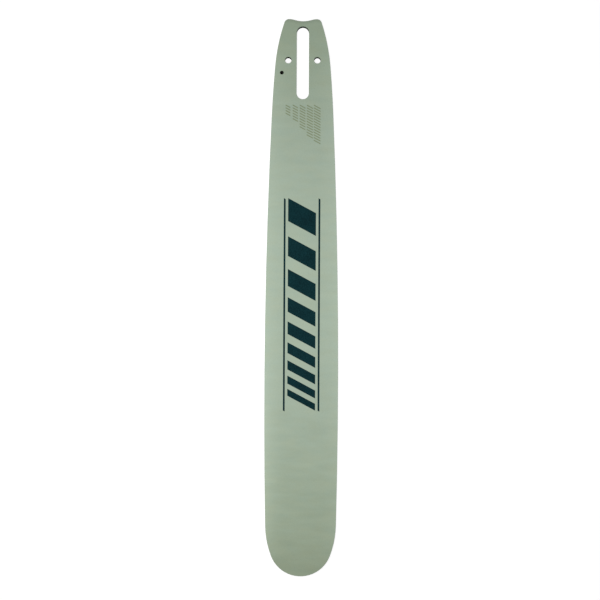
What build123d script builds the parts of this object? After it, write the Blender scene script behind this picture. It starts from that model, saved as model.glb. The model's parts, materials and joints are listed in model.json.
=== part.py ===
from build123d import *

import os
from collections import namedtuple
from math import sqrt

# A hard-nose guide bar for a chainsaw: one flat steel plate with a chain groove all along its edge.
# It lies flat, with X from tail to nose, Y across and Z through the thickness, in millimetres.
# The origin is the middle of the stud slot, on the lower face.

# Plate
overall_length = 580.0
plate_thickness = 4.8
edge_break = 0.3

# Stud slot, and the holes beside it for the chain tensioner's pin
slot_width = 12.8
slot_length = 75.8
tail_web = 5.3  # steel left between the slot and the hollow of the tail end
pin_hole_diameter = 6.7
pin_hole_spacing = 30.3
pin_hole_setback = 2.7  # from the middle of the slot towards the tail

# Sides: one long arc each, from the hip to the nose
hip_width = 64.0  # across the bar at the hip
hip_advance = 16.0  # from the inner end of the slot to the hip
side_bulge = 6.35  # how far each side swells past the hip
widest_to_tip = 193.3  # from the nose tip back to the widest place

# Nose: a round tip and a shoulder arc that runs into the side
tip_set_in = 2.7  # the tip's radius is less than half the side-to-side width by this much
shoulder_radius = 92.0

# Tail: a hollow end between two low crowns, each with a round corner, and a flank that runs into the hip
tail_hollow = 2.2
tail_crown_radius = 20.0
tail_corner_radius = 5.0
tail_set_in = 7.2  # how far each corner stands in from the line of the side
tail_flank_radius = 195.0
hip_radius = 1250.0

# Chain groove, with a flared entry at each tail corner
groove_width = 1.6
groove_depth = 8.0
entry_width = 2.8
entry_length = 9.0

# Oil hole from each face into the groove, on opposite sides so that the bar can be turned over
oil_hole_diameter = 4.0
oil_hole_advance = 10.4  # from the middle of the slot towards the nose
oil_hole_reach = 0.5  # the hole's centre lies this far outside the groove's floor

Arc = namedtuple("Arc", "centre radius")

tail_x = -(slot_length / 2 + tail_web + tail_hollow)
nose_x = tail_x + overall_length
hip_x = slot_length / 2 + hip_advance
mid_height = plate_thickness / 2


def side_arc():
    """The long arc of the +Y side, which swells from the hip to the widest place."""
    widest_x = nose_x - widest_to_tip
    run = widest_x - hip_x
    radius = (run**2 + side_bulge**2) / (2 * side_bulge)
    return Arc(Vector(widest_x, hip_width / 2 + side_bulge - radius), radius)


def height_on(arc, x, inset=0.0):
    """How far from the middle line an arc passes at x, once it is pulled in by inset."""
    return arc.centre.Y + sqrt((arc.radius - inset) ** 2 - (x - arc.centre.X) ** 2)


def arc_touching(outer, x, radius):
    """The smaller arc that touches another one from inside at x."""
    touch = Vector(x, height_on(outer, x))
    return Arc(touch + (outer.centre - touch).normalized() * radius, radius)


def arc_between(inner, outer, radius, turn):
    """The arc that runs round the inner arc's circle and inside the outer one, touching both."""
    line = outer.centre - inner.centre
    near = radius - inner.radius
    far = outer.radius - radius
    along = (near**2 - far**2 + line.length**2) / (2 * line.length)
    across = sqrt(near**2 - along**2)
    direction = line.normalized()
    return Arc(inner.centre + direction * along + direction.rotate(Axis.Z, turn) * across, radius)


def outward_at_join(first, second):
    """The smaller of two touching arcs, and the outward direction at the point where they meet."""
    small, large = sorted((first, second), key=lambda arc: arc.radius)
    return small, (small.centre - large.centre).normalized()


def join(first, second, inset=0.0):
    """The point where two touching arcs meet, once both are pulled in by inset."""
    small, outward = outward_at_join(first, second)
    return small.centre + outward * (small.radius - inset)


# The arcs of the +Y side in order, from the tail corner to the tip
side = side_arc()
hip = arc_touching(side, hip_x, hip_radius)
tip_radius = height_on(side, nose_x) - tip_set_in
tip = Arc(Vector(nose_x - tip_radius, 0), tip_radius)
shoulder = arc_between(tip, side, shoulder_radius, -90)
corner_y = height_on(side, tail_x) - tail_set_in - tail_corner_radius
corner = Arc(Vector(tail_x + tail_corner_radius, corner_y), tail_corner_radius)
flank = arc_between(corner, hip, tail_flank_radius, 90)
edge_arcs = [corner, flank, hip, side, shoulder, tip]


def joins(inset=0.0):
    """The points where the arcs of the +Y side meet, pulled in by inset."""
    return [join(first, second, inset) for first, second in zip(edge_arcs, edge_arcs[1:])]


def arc_at(x):
    """The arc that makes the edge at x."""
    arcs_before = sum(point.X < x for point in joins())
    return edge_arcs[arcs_before]


def edge_curves(inset=0.0):
    """The +Y side from flank to tip, pulled in by inset, and the point where it starts."""
    points = joins(inset) + [Vector(nose_x - inset, 0)]
    spans = zip(points, points[1:], edge_arcs[1:])
    return [RadiusArc(start, end, arc.radius - inset) for start, end, arc in spans], points[0]


def both_sides(curves):
    return curves + [mirror(curve, about=Plane.XZ) for curve in curves]


def plate_outline():
    """The outer edge: both sides, the tail corners and crowns, and the hollow tail end between them."""
    curves, corner_end = edge_curves()
    tail_end = Vector(tail_x, corner_y)
    crown_centre = tail_end + Vector(tail_crown_radius, 0)
    rise = tail_crown_radius - tail_hollow
    hollow_radius = (corner_y**2 + rise**2 - tail_crown_radius**2) / (2 * tail_hollow)
    hollow_centre = Vector(tail_x + tail_hollow - hollow_radius, 0)
    hollow_end = hollow_centre + (crown_centre - hollow_centre).normalized() * hollow_radius
    crown_curve = RadiusArc(hollow_end, tail_end, tail_crown_radius)
    corner_curve = RadiusArc(tail_end, corner_end, tail_corner_radius)
    hollow_curve = RadiusArc((hollow_end.X, -hollow_end.Y), hollow_end, -hollow_radius)
    return make_face(both_sides([crown_curve, corner_curve] + curves) + [hollow_curve])


def groove_floor_outline():
    """The steel left inside the groove, which runs out straight past both tail corners."""
    curves, start = edge_curves(groove_depth)
    _, outward = outward_at_join(corner, flank)
    run_out = start + outward.rotate(Axis.Z, 90) * (groove_depth + tail_corner_radius)
    end_line = Line((run_out.X, -run_out.Y), run_out)
    return make_face(both_sides([Line(run_out, start)] + curves) + [end_line])


def plate():
    """The flat plate with its slot and pin holes, and every edge of both faces broken."""
    profile = plate_outline() - SlotOverall(slot_length, slot_width)
    for side_sign in (1, -1):
        profile -= Pos(-pin_hole_setback, side_sign * pin_hole_spacing / 2) * Circle(pin_hole_diameter / 2)
    blank = extrude(profile, plate_thickness)
    face_edges = blank.edges().group_by(Axis.Z)
    return chamfer(face_edges[0] + face_edges[-1], edge_break)


def groove_cut():
    """Everything outside the groove's floor, over the groove's width."""
    surround = Rectangle(2 * overall_length, 2 * overall_length) - groove_floor_outline()
    return extrude(Pos(0, 0, mid_height) * surround, groove_width / 2, both=True)


def entry_cut():
    """The wedge that opens the groove where the chain runs in and out at the tail corners."""
    wedge = Polygon(
        (tail_x, mid_height - entry_width / 2),
        (tail_x + entry_length, mid_height - groove_width / 2),
        (tail_x + entry_length, mid_height + groove_width / 2),
        (tail_x, mid_height + entry_width / 2),
        align=None,
    )
    across = extrude(Plane.XZ * wedge, overall_length, both=True)
    return across - extrude(groove_floor_outline(), plate_thickness)


def oil_holes():
    """A blind hole from each face down to the far wall of the groove."""
    floor_y = height_on(arc_at(oil_hole_advance), oil_hole_advance, groove_depth)
    hole_y = floor_y + oil_hole_reach
    depth = mid_height + groove_width / 2
    hole = extrude(Circle(oil_hole_diameter / 2), depth)
    upper = Pos(oil_hole_advance, -hole_y, plate_thickness - depth) * hole
    lower = Pos(oil_hole_advance, hole_y, 0) * hole
    return upper + lower


guide_bar = plate() - groove_cut() - entry_cut() - oil_holes()

os.makedirs("parts", exist_ok=True)
export_step(guide_bar, "parts/guide_bar.step")
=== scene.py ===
import json
import math
from collections import namedtuple

import bmesh
import bpy
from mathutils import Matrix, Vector


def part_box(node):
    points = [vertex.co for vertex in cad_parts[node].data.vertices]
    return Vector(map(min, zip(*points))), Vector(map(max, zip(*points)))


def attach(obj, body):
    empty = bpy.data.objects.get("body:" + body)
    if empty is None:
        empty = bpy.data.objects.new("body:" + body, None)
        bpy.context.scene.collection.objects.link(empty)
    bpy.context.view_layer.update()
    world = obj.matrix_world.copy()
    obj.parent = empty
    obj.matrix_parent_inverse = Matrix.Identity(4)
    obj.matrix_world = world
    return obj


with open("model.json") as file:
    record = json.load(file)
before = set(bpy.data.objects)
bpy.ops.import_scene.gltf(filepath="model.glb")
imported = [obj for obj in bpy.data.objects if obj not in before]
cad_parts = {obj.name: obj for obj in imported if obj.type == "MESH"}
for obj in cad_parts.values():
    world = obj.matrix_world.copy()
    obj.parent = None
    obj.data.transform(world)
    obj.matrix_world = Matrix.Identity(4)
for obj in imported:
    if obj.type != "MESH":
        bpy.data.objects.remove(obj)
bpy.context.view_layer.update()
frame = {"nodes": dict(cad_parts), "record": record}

# A hard-nose guide bar for a chainsaw: a coated steel plate with bare ground rails, a dark chain groove,
# a printed band and an etched patch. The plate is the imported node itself. The print and the etching are
# thin films on its upper face. X runs from tail to nose, Y across and Z up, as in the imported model.
# Shapes, lights and the camera are in metres. Materials measure the plate in millimetres.

MM = 0.001

# The plate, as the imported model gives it
plate = frame["nodes"]["guide_bar"]
plate_low, plate_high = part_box("guide_bar")
plate_middle = (plate_low + plate_high) / 2
mounts = {mount["name"]: mount for mount in frame["record"]["mounts"]}

# How the photograph frames the bar, in pixels of its 600 by 600 picture
PICTURE_SIZE = 600
TAIL_ROW = 19.05
NOSE_ROW = 576.4
AXIS_COLUMN_AT_TAIL = 303.07
AXIS_LEAN = math.radians(0.293)  # from the picture's columns
CAMERA_HEIGHT = 0.72  # above the upper face
SENSOR_WIDTH = 36.0  # the camera's own default, in millimetres

# Light: one soft box, and a little from the backdrop
KEY_HEIGHT = 0.46  # above the upper face
KEY_SIZE = 0.30
KEY_POWER = 2.17
KEY_ASIDE = -0.12  # towards the picture's left
KEY_AHEAD = 0.008  # from the middle of the bar towards the nose
AMBIENT = 0.265  # the backdrop's light on the bar

# Floor
FLOOR_DROP = 0.05 * MM  # below the bar, so that the two don't share a plane
FLOOR_REACH = 6.0
FLOOR_WHITE = 0.85  # what the floor throws back on the bar
FLOOR_SHADE = 0.30  # how strongly the light and shadow on the floor show
FLOOR_GLOW = 0.855  # what lifts the floor to white where it is seen
BACKDROP_WHITE = FLOOR_GLOW + FLOOR_SHADE * AMBIENT  # as the far floor, so that no horizon shows

MARK_SLANT = math.radians(28)  # of the printed bars and the etched strokes

# Printed band: slanted bars that grow shorter towards the nose, between two fine lines
PRINT_START = 141 * MM
PRINT_LENGTH = 221 * MM
PRINT_WIDTH = 29 * MM
PRINT_BARS = 9
PRINT_SHRINK = 0.86  # each bar's length, as a share of the one before it
PRINT_GAP = 0.66  # the gap after a bar, as a share of its length
FINE_LINE_WIDTH = 1.9 * MM
FINE_LINE_GAP = 2.6 * MM
PRINT_RISE = 0.03 * MM  # above the face

# Etched patch: rows of short strokes, each row longer than the one before it
ETCH_START = 43.5 * MM
ETCH_ROWS = 5
ETCH_FIRST_ROW = 10 * MM
ETCH_ROW_GROWTH = 7.6 * MM
ETCH_ROW_PITCH = 7.6 * MM
ETCH_STROKE_LENGTH = 5.0 * MM
ETCH_STROKE_GROWTH = 0.5 * MM
ETCH_STROKE_WIDTH = 1.25 * MM
ETCH_STROKE_PITCH = 2.8 * MM
ETCH_RISE = 0.01 * MM  # above the face

# The plate's outline for its finishes, as simple curves, in millimetres
TAIL_X = plate_low.x / MM
NOSE_X = plate_high.x / MM
HALF_WAY_X = plate_middle.x / MM
HALF_WIDTH = plate_high.y / MM
MIDDLE_Z = plate_middle.z / MM
HALF_THICKNESS = (plate_high.z - plate_low.z) / 2 / MM
WIDEST_X = NOSE_X - 193.3
SIDE_RADIUS = 6507.0
FLANK_X = TAIL_X + 62.0  # where the sides begin to draw in towards the tail
FLANK_RADIUS = 225.0
NOSE_RADIUS = 32.8
TAIL_HOLLOW = 2.2
TAIL_HOLLOW_RADIUS = 30.0
EDGE_BREAK = 0.30
GROOVE_HALF_WIDTH = 0.8
GROOVE_DEPTH = 8.0
OIL_HOLE_X = 10.4
OIL_HOLE_Y = 21.8
OIL_HOLE_RADIUS = 2.0

# How far a finish reaches past the edge of its own surface, in millimetres
HOLE_MARGIN = 0.4
GROOVE_DEPTH_MARGIN = 0.5
GROOVE_WIDTH_MARGIN = (0.02, 0.15)
COATING_FADE = 0.06
COATING_RAGGED = 0.08

# Stretches of the coating along X, in millimetres, as start and end
TAIL_STRETCH = (-45.0, 95.0)
STREAKS_STRETCH = (330.0, 430.0)  # where the streaks grow clearer
WARMER_STRETCH = (330.0, 500.0)  # past the print, where the painted shade grows warmer
NOSE_STRETCH = (480.0, 530.0)
PAINTED_LIGHT_STRETCH = (180.0, 460.0)  # where the painted light on the -Y side, the side of the key light, grows stronger
PAINTED_LIGHT_FADE = (235.0, 285.0)  # from half way along the bar, where the painted light along the rails fades out
PAINTED_LIGHT_WIDTH = 24.0  # width of the painted light along each rail
TAIL_SHADE_WIDTH = 4.5  # width of the painted shade along the tail end, where its edge rounds down

# Coating: how far each pattern carries, and the tints that it takes on in places, some of them painted
# light and shade
NOISE_MEAN = 0.5
NOISE_RANGE = (0.3, 0.7)  # where nearly all of a noise's values lie
STREAK_STRENGTH = (0.5, 0.85)
SPECKLE_SHARE = 0.35
UNEVEN_RANGE = (0.2, 0.8)
UNEVEN_TONE = (0.033, 0.50)
# Painted light: how much paler the coating is drawn along the rails
PAINTED_LIGHT_TONE = 0.28
PAINTED_LIGHT_GROWTH = 0.37  # painted light added on the -Y side, towards the key light
COATING_DARK = (0.3113, 0.3830, 0.2995)
COATING_PALE = (0.4336, 0.5185, 0.4159)
HUE_WARM = (1.045, 1.0, 0.95)
HUE_COOL = (0.955, 1.0, 1.05)
PLAIN = (1.0, 1.0, 1.0)
# Painted shade: the coating drawn warmer towards the tail and past the print, and darker and warmer at the
# nose, where the key light is weaker
TAIL_TINT = (0.99, 1.0, 0.94)
WARMER_TINT = (1.0, 1.0, 0.94)
NOSE_TINT = (0.97, 0.955, 0.925)
# painted shade along the tail end
TAIL_SHADE_TINT = (0.85, 0.85, 0.85)
COATING_ROUGHNESS = (0.52, 0.60)
COATING_SPECULAR = 0.15
COATING_RELIEF = 0.012 * MM

# Bare steel, from dark to pale
RAIL_COLOURS = ((0.27, 0.27, 0.265), (0.54, 0.53, 0.515))
RAIL_ROUGHNESS = (0.44, 0.30)
WALL_COLOURS = ((0.016, 0.019, 0.015), (0.033, 0.038, 0.030))
GROOVE_COLOURS = ((0.004, 0.004, 0.0035), (0.014, 0.013, 0.012))
DULL_ROUGHNESS = 0.95  # in the holes and the groove

# Ink and etching, from dark to pale
INK_COLOURS = ((0.0005, 0.0110, 0.0135), (0.0045, 0.0280, 0.0332))
INK_GRAIN_SHARE = 0.7
INK_ROUGHNESS = (0.50, 0.62)
INK_SPECULAR = 0.08
INK_RELIEF = 0.012 * MM
ETCH_COLOURS = ((0.192, 0.231, 0.1375), (0.272, 0.320, 0.208))
ETCH_ROUGHNESS = (0.70, 0.80)
ETCH_SPECULAR = 0.12
ETCH_RELIEF = 0.01 * MM

# Noise patterns: how dense each one is per millimetre along X, Y and Z, then its detail and roughness
Pattern = namedtuple("Pattern", "density detail roughness")
RAGGED_EDGE = Pattern((1.7, 1.7, 1.7), 3.0, 0.5)
STREAKS = Pattern((0.13, 0.03, 1.0), 3.0, 0.5)
SPECKLE = Pattern((1.1, 1.1, 1.1), 2.0, 0.5)
HUE_DRIFT = Pattern((0.12, 0.06, 1.0), 3.0, 0.6)
GLOSS_CLOUDS = Pattern((0.045, 0.045, 0.045), 3.0, 0.55)
PEEL = Pattern((0.9, 0.9, 0.9), 3.0, 0.6)
GRINDING_LINES = Pattern((0.05, 0.05, 7.0), 3.0, 0.6)
MILL_SCALE = Pattern((2.0, 2.0, 0.4), 3.0, 0.5)
INK_CLOUDS = Pattern((0.12, 0.12, 0.12), 3.0, 0.6)
INK_GRAIN = Pattern((0.8, 0.8, 0.8), 3.0, 0.6)
BEAM_PULSES = Pattern((4.0, 4.0, 4.0), 2.0, 0.5)


class Field:
    """A number that varies over a surface. Arithmetic on it adds math nodes to its graph."""

    def __init__(self, graph, socket):
        self.graph = graph
        self.socket = socket

    def __add__(self, other):
        return self.graph.math("ADD", self, other)

    def __sub__(self, other):
        return self.graph.math("SUBTRACT", self, other)

    def __rsub__(self, other):
        return self.graph.math("SUBTRACT", other, self)

    def __mul__(self, other):
        return self.graph.math("MULTIPLY", self, other)

    def __truediv__(self, other):
        return self.graph.math("DIVIDE", self, other)

    def __pow__(self, other):
        return self.graph.math("POWER", self, other)

    def __abs__(self):
        return self.graph.math("ABSOLUTE", self)


class Graph:
    """The node tree of a material or a world, with a short call for each kind of node that it uses."""

    def __init__(self, owner):
        owner.use_nodes = True
        self.tree = owner.node_tree
        self.tree.nodes.clear()

    def node(self, kind, sockets=None, **settings):
        """Adds a node. Each socket gets a plain value, or a link from a field or another node's output."""
        made = self.tree.nodes.new(kind)
        for name, value in settings.items():
            setattr(made, name, value)
        for name, value in (sockets or {}).items():
            source = value.socket if isinstance(value, Field) else value
            if isinstance(source, bpy.types.NodeSocket):
                self.tree.links.new(source, made.inputs[name])
            else:
                made.inputs[name].default_value = source
        return made

    def math(self, operation, first, second=0.0):
        made = self.node("ShaderNodeMath", {0: first, 1: second}, operation=operation)
        return Field(self, made.outputs[0])

    def larger(self, first, second):
        return self.math("MAXIMUM", first, second)

    def below(self, first, second):
        """1 where first is less than second, and 0 elsewhere."""
        return self.math("LESS_THAN", first, second)

    def distance(self, along, across):
        return self.math("SQRT", along**2 + across**2)

    def place(self):
        """The place on the piece in millimetres, as a vector."""
        metres = self.node("ShaderNodeTexCoord").outputs["Object"]
        made = self.node("ShaderNodeVectorMath", {0: metres, "Scale": 1 / MM}, operation="SCALE")
        return made.outputs[0]

    def split(self, vector):
        """A vector's X, Y and Z."""
        made = self.node("ShaderNodeSeparateXYZ", {0: vector})
        return [Field(self, output) for output in made.outputs]

    def multiply(self, first, second):
        """Two vectors or colours, part by part."""
        made = self.node("ShaderNodeVectorMath", {0: first, 1: second}, operation="MULTIPLY")
        return made.outputs[0]

    def noise(self, place, pattern):
        """A noise from 0 to 1 with the pattern's density and detail."""
        sockets = {
            "Vector": self.multiply(place, pattern.density),
            "Scale": 1.0,
            "Detail": pattern.detail,
            "Roughness": pattern.roughness,
        }
        return Field(self, self.node("ShaderNodeTexNoise", sockets).outputs["Fac"])

    def ramp(self, value, low, high, at_low=0.0, at_high=1.0):
        """Goes smoothly from at_low to at_high as value goes from low to high."""
        sockets = {"Value": value, "From Min": low, "From Max": high, "To Min": at_low, "To Max": at_high}
        made = self.node("ShaderNodeMapRange", sockets, interpolation_type="SMOOTHSTEP")
        return Field(self, made.outputs["Result"])

    def blend(self, share, first, second):
        """A number: first where share is 0, second where it is 1."""
        made = self.node("ShaderNodeMix", {0: share, 2: first, 3: second}, data_type="FLOAT")
        return Field(self, made.outputs[0])

    def tint(self, share, first, second):
        """A colour: first where share is 0, second where it is 1."""
        sockets = {0: share, 6: opaque(first), 7: opaque(second)}
        return self.node("ShaderNodeMix", sockets, data_type="RGBA").outputs[2]

    def bump(self, relief, depth):
        """Surface normals for a relief from 0 to 1 that is that deep."""
        return self.node("ShaderNodeBump", {"Height": relief, "Distance": depth}).outputs["Normal"]

    def principled(self, sockets):
        shader = self.node("ShaderNodeBsdfPrincipled", sockets)
        self.node("ShaderNodeOutputMaterial", {"Surface": shader.outputs[0]})


def opaque(colour):
    """A colour as a shader takes it, with alpha. A link passes through as it is."""
    if isinstance(colour, bpy.types.NodeSocket):
        return colour
    return (*colour, 1.0)


def in_round(graph, along, across, radius):
    """1 within a round hole, from the two distances to its centre."""
    return graph.below(graph.distance(along, across), radius + HOLE_MARGIN)


def in_hole_pair(graph, x, y, hole_x, hole_y, radius):
    """1 in either of two round holes that lie on opposite sides of the middle line."""
    return in_round(graph, x - hole_x, abs(y) - hole_y, radius)


def in_holes(graph, x, y):
    """1 in the stud slot, the pin holes and the oil holes."""
    slot = mounts["stud_slot"]["dims"]
    slot_reach = slot["slot_length_mm"] / 2 - slot["hole_r_mm"]
    past_slot_end = graph.larger(abs(x) - slot_reach, 0.0)
    in_slot = in_round(graph, past_slot_end, y, slot["hole_r_mm"])
    pin = mounts["pin_hole_left"]
    pin_x, pin_y, _ = pin["pos_m"]
    in_pin_holes = in_hole_pair(graph, x, y, pin_x / MM, pin_y / MM, pin["dims"]["r_mm"])
    in_oil_holes = in_hole_pair(graph, x, y, OIL_HOLE_X, OIL_HOLE_Y, OIL_HOLE_RADIUS)
    return graph.larger(in_slot, graph.larger(in_pin_holes, in_oil_holes))


def from_rail(graph, x, y):
    """How far a place on the face is from the nearest rail."""
    side_drop = (x - WIDEST_X) ** 2 / (2 * SIDE_RADIUS)
    flank_drop = graph.larger(FLANK_X - x, 0.0) ** 2 / (2 * FLANK_RADIUS)
    half_width = HALF_WIDTH - (side_drop + flank_drop)
    into_nose = graph.larger(x - (NOSE_X - NOSE_RADIUS), 0.0)
    outward = graph.distance(into_nose / NOSE_RADIUS, y / half_width)
    return half_width * (1.0 - outward)


def from_tail_end(graph, x, y):
    """How far a place on the face is from the hollow tail end."""
    hollow = graph.larger(TAIL_HOLLOW - y**2 / (2 * TAIL_HOLLOW_RADIUS), 0.0)
    return x - TAIL_X - hollow


def painted_rail_light(graph, x, y, rail_distance):
    """Painted light along each rail: the coating is drawn paler there, more on the -Y side where the key
    light stands, and not at the ends.
    """
    inward = graph.larger(1.0 - rail_distance / PAINTED_LIGHT_WIDTH, 0.0) ** 2
    not_at_ends = graph.ramp(abs(x - HALF_WAY_X), *PAINTED_LIGHT_FADE, 1.0, 0.0)
    growth = graph.below(y, 0.0) * graph.ramp(x, *PAINTED_LIGHT_STRETCH, 0.0, PAINTED_LIGHT_GROWTH)
    return inward * not_at_ends * (growth + PAINTED_LIGHT_TONE)


def coating_colour(graph, place, rail_distance):
    """Sage coating over cross-ground streaks and speckle, with painted light along the rails and painted
    shade, warmer and darker, towards the tail and the nose.
    """
    x, y, _ = graph.split(place)
    streak_strength = graph.ramp(x, *STREAKS_STRETCH, *STREAK_STRENGTH)
    streaks = graph.blend(streak_strength, NOISE_MEAN, graph.noise(place, STREAKS))
    uneven = graph.blend(SPECKLE_SHARE, streaks, graph.noise(place, SPECKLE))
    tone = graph.ramp(uneven, *UNEVEN_RANGE, *UNEVEN_TONE) + painted_rail_light(graph, x, y, rail_distance)
    colour = graph.tint(tone, COATING_DARK, COATING_PALE)
    hue = graph.tint(graph.noise(place, HUE_DRIFT), HUE_WARM, HUE_COOL)
    colour = graph.multiply(colour, hue)
    # Painted shade: warmer towards the tail, past the print and at the nose, darker at the nose and along
    # the tail end
    painted_shade_places = (
        (graph.ramp(x, *TAIL_STRETCH, 1.0, 0.0), TAIL_TINT),
        (graph.ramp(x, *WARMER_STRETCH), WARMER_TINT),
        (graph.ramp(x, *NOSE_STRETCH), NOSE_TINT),
        (graph.ramp(from_tail_end(graph, x, y), 0.0, TAIL_SHADE_WIDTH, 1.0, 0.0), TAIL_SHADE_TINT),
    )
    for share, tint in painted_shade_places:
        colour = graph.multiply(colour, graph.tint(share, PLAIN, tint))
    return colour


def on_faces(graph, place, from_middle):
    """1 on both faces, where the coating is. It ends raggedly at the broken edges."""
    coating_end = HALF_THICKNESS - EDGE_BREAK
    ragged = graph.noise(place, RAGGED_EDGE) * COATING_RAGGED
    return graph.ramp(from_middle + ragged, coating_end, coating_end + COATING_FADE)


def in_groove(graph, from_middle, rail_distance):
    """1 in the chain groove: between the rails, and no deeper than its floor."""
    groove_edge = [GROOVE_HALF_WIDTH + margin for margin in GROOVE_WIDTH_MARGIN]
    between_rails = graph.ramp(from_middle, *groove_edge, 1.0, 0.0)
    return between_rails * graph.below(rail_distance, GROOVE_DEPTH + GROOVE_DEPTH_MARGIN)


def bare_colour(graph, place, lines, holes, groove):
    """Ground steel with its lines on the rails, and scale in the holes and the groove."""
    scale = graph.noise(place, MILL_SCALE)
    ground = graph.tint(holes, graph.tint(lines, *RAIL_COLOURS), graph.tint(scale, *WALL_COLOURS))
    return graph.tint(groove, ground, graph.tint(scale, *GROOVE_COLOURS))


def coated_steel():
    """Satin coating on both faces, bare ground rails round the edge, a dark groove and dull hole walls."""
    material = bpy.data.materials.new("coated_steel_finish")
    graph = Graph(material)
    place = graph.place()
    x, y, z = graph.split(place)
    from_middle = abs(z - MIDDLE_Z)
    rail_distance = from_rail(graph, x, y)
    coated = on_faces(graph, place, from_middle)
    holes = in_holes(graph, x, y)
    groove = in_groove(graph, from_middle, rail_distance)
    dull = graph.larger(holes, groove)

    lines = graph.ramp(graph.noise(place, GRINDING_LINES), *NOISE_RANGE)
    bare = bare_colour(graph, place, lines, holes, groove)
    bare_roughness = graph.blend(dull, graph.blend(lines, *RAIL_ROUGHNESS), DULL_ROUGHNESS)
    coating = coating_colour(graph, place, rail_distance)
    coating_roughness = graph.ramp(graph.noise(place, GLOSS_CLOUDS), *NOISE_RANGE, *COATING_ROUGHNESS)
    relief = graph.blend(coated, lines, graph.noise(place, PEEL))
    graph.principled(
        {
            "Base Color": graph.tint(coated, bare, coating),
            "Metallic": 1.0 - graph.larger(dull, coated),
            "Roughness": graph.blend(coated, bare_roughness, coating_roughness),
            "Specular IOR Level": COATING_SPECULAR,
            "Normal": graph.bump(relief, COATING_RELIEF),
        }
    )
    return material


def print_ink():
    """Dark teal ink, matte, a little uneven."""
    material = bpy.data.materials.new("print_ink_finish")
    graph = Graph(material)
    place = graph.place()
    clouds = graph.noise(place, INK_CLOUDS)
    uneven = graph.blend(INK_GRAIN_SHARE, clouds, graph.noise(place, INK_GRAIN))
    graph.principled(
        {
            "Base Color": graph.tint(graph.ramp(uneven, *NOISE_RANGE), *INK_COLOURS),
            "Roughness": graph.ramp(clouds, *NOISE_RANGE, *INK_ROUGHNESS),
            "Specular IOR Level": INK_SPECULAR,
            "Normal": graph.bump(graph.noise(place, PEEL), INK_RELIEF),
        }
    )
    return material


def etched_coating():
    """Coating burnt to a dull olive by the marking beam."""
    material = bpy.data.materials.new("etched_coating_finish")
    graph = Graph(material)
    pulses = graph.noise(graph.place(), BEAM_PULSES)
    graph.principled(
        {
            "Base Color": graph.tint(pulses, *ETCH_COLOURS),
            "Roughness": graph.ramp(pulses, *NOISE_RANGE, *ETCH_ROUGHNESS),
            "Specular IOR Level": ETCH_SPECULAR,
            "Normal": graph.bump(pulses, ETCH_RELIEF),
        }
    )
    return material


def film(name, outlines, rise, material):
    """A closed layer that stands a little above the upper face and reaches as far below it, from flat
    outlines given as (x, y) corners."""
    shape = bmesh.new()
    for outline in outlines:
        lower = [shape.verts.new((x, y, plate_high.z - rise)) for x, y in outline]
        upper = [shape.verts.new((x, y, plate_high.z + rise)) for x, y in outline]
        shape.faces.new(upper)
        shape.faces.new(lower[::-1])
        for here in range(len(outline)):
            after = (here + 1) % len(outline)
            shape.faces.new((lower[here], lower[after], upper[after], upper[here]))
    bmesh.ops.recalc_face_normals(shape, faces=shape.faces)
    mesh = bpy.data.meshes.new(name)
    shape.to_mesh(mesh)
    shape.free()
    mesh.materials.append(material)
    piece = bpy.data.objects.new(name, mesh)
    bpy.context.scene.collection.objects.link(piece)
    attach(piece, "root")


def slanted_bar(start, length, middle, width):
    """Corners of a bar whose ends lean towards the nose. Its width runs across the plate."""
    lean = width * math.tan(MARK_SLANT)
    low = middle - width / 2
    high = middle + width / 2
    return [(start, low), (start + length, low), (start + length + lean, high), (start + lean, high)]


def printed_band():
    """The slanted bars and the two fine lines beside them."""
    lean = PRINT_WIDTH * math.tan(MARK_SLANT)
    shares = [PRINT_SHRINK**count for count in range(PRINT_BARS)]
    run = sum(shares) * (1 + PRINT_GAP) - shares[-1] * PRINT_GAP
    first_length = (PRINT_LENGTH - lean) / run
    bars = []
    start = PRINT_START
    for share in shares:
        length = first_length * share
        bars.append(slanted_bar(start, length, 0.0, PRINT_WIDTH))
        start += length * (1 + PRINT_GAP)
    line_middle = PRINT_WIDTH / 2 + FINE_LINE_GAP + FINE_LINE_WIDTH / 2
    lines = [
        slanted_bar(PRINT_START, PRINT_LENGTH, side * line_middle, FINE_LINE_WIDTH) for side in (-1, 1)
    ]
    ink = print_ink()
    film("print_bars", bars, PRINT_RISE, ink)
    film("print_lines", lines, PRINT_RISE, ink)


def etched_patch():
    """Rows of short slanted strokes between the slot and the print."""
    strokes = []
    for row in range(ETCH_ROWS):
        middle = (row - (ETCH_ROWS - 1) / 2) * ETCH_ROW_PITCH
        stroke_length = ETCH_STROKE_LENGTH + row * ETCH_STROKE_GROWTH
        count = round((ETCH_FIRST_ROW + row * ETCH_ROW_GROWTH) / ETCH_STROKE_PITCH)
        for number in range(count):
            start = ETCH_START + number * ETCH_STROKE_PITCH
            strokes.append(slanted_bar(start, ETCH_STROKE_WIDTH, middle, stroke_length))
    film("etched_strokes", strokes, ETCH_RISE, etched_coating())


def seen_rays(graph):
    """1 on the rays that show the floor or the backdrop: direct, in a reflection or through glass."""
    path = graph.node("ShaderNodeLightPath").outputs
    mirrored = graph.larger(path["Is Glossy Ray"], path["Is Transmission Ray"])
    return graph.larger(path["Is Camera Ray"], mirrored)


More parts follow.
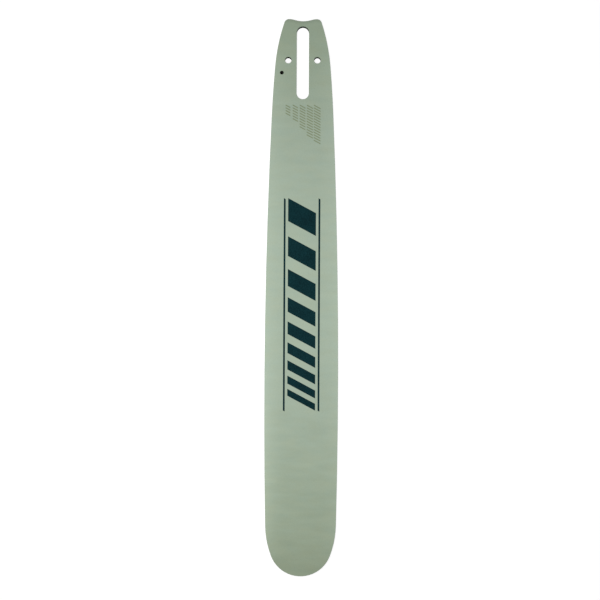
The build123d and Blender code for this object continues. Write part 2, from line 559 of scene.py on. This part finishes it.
def floor_paint():
    """White paint, lifted to white where it is seen, that still shows the bar's shadow."""
    material = bpy.data.materials.new("floor_white")
    graph = Graph(material)
    paint = graph.node("ShaderNodeBsdfDiffuse", {"Color": opaque([FLOOR_WHITE] * 3)})
    shade = graph.node("ShaderNodeBsdfDiffuse", {"Color": opaque([FLOOR_SHADE] * 3)})
    glow = graph.node("ShaderNodeEmission", {"Strength": FLOOR_GLOW})
    shown = graph.node("ShaderNodeAddShader", {0: shade.outputs[0], 1: glow.outputs[0]})
    choice = {0: seen_rays(graph), 1: paint.outputs[0], 2: shown.outputs[0]}
    chosen = graph.node("ShaderNodeMixShader", choice)
    graph.node("ShaderNodeOutputMaterial", {"Surface": chosen.outputs[0]})
    return material


def floor():
    """A wide flat floor under the bar."""
    mesh = bpy.data.meshes.new("floor")
    level = plate_low.z - FLOOR_DROP
    corners = [(-1, -1), (1, -1), (1, 1), (-1, 1)]
    mesh.from_pydata([(x * FLOOR_REACH, y * FLOOR_REACH, level) for x, y in corners], [], [(0, 1, 2, 3)])
    mesh.materials.append(floor_paint())
    piece = bpy.data.objects.new("floor", mesh)
    bpy.context.scene.collection.objects.link(piece)


def backdrop():
    """A world that is white where it is seen and gives the bar only a little light."""
    world = bpy.data.worlds.new("backdrop")
    graph = Graph(world)
    dim = graph.node("ShaderNodeBackground", {"Color": opaque(PLAIN), "Strength": AMBIENT})
    white = graph.node("ShaderNodeBackground", {"Color": opaque(PLAIN), "Strength": BACKDROP_WHITE})
    choice = {0: seen_rays(graph), 1: dim.outputs[0], 2: white.outputs[0]}
    chosen = graph.node("ShaderNodeMixShader", choice)
    graph.node("ShaderNodeOutputWorld", {"Surface": chosen.outputs[0]})
    bpy.context.scene.world = world


def key_light():
    """One soft box above the bar, a little to the picture's left, aimed at its middle."""
    target = Vector((plate_middle.x, 0.0, plate_high.z))
    lamp = bpy.data.lights.new("soft_box", "AREA")
    lamp.shape = "SQUARE"
    lamp.size = KEY_SIZE
    lamp.energy = KEY_POWER
    light = bpy.data.objects.new("soft_box", lamp)
    light.location = target + Vector((KEY_AHEAD, KEY_ASIDE, KEY_HEIGHT))
    light.rotation_euler = (target - light.location).to_track_quat("-Z", "Y").to_euler()
    light.visible_camera = False
    light.visible_glossy = False
    bpy.context.scene.collection.objects.link(light)


def camera():
    """Straight above the bar, turned so that the tail is at the picture's top."""
    pixel = (plate_high.x - plate_low.x) / (NOSE_ROW - TAIL_ROW)
    centre = PICTURE_SIZE / 2
    rows_from_tail = centre - TAIL_ROW
    axis_column = AXIS_COLUMN_AT_TAIL - math.tan(AXIS_LEAN) * rows_from_tail
    lens = bpy.data.cameras.new("camera")
    lens.sensor_width = SENSOR_WIDTH
    lens.lens = SENSOR_WIDTH * CAMERA_HEIGHT / (PICTURE_SIZE * pixel)
    eye = bpy.data.objects.new("camera", lens)
    eye.location = (
        plate_low.x + rows_from_tail * pixel,
        (centre - axis_column) * pixel,
        plate_high.z + CAMERA_HEIGHT,
    )
    eye.rotation_euler = (0.0, 0.0, math.radians(90) + AXIS_LEAN)
    bpy.context.scene.collection.objects.link(eye)
    bpy.context.scene.camera = eye


plate.material_slots[0].material = coated_steel()
printed_band()
etched_patch()
floor()
backdrop()
key_light()
camera()
bpy.context.scene.view_settings.view_transform = "Standard"
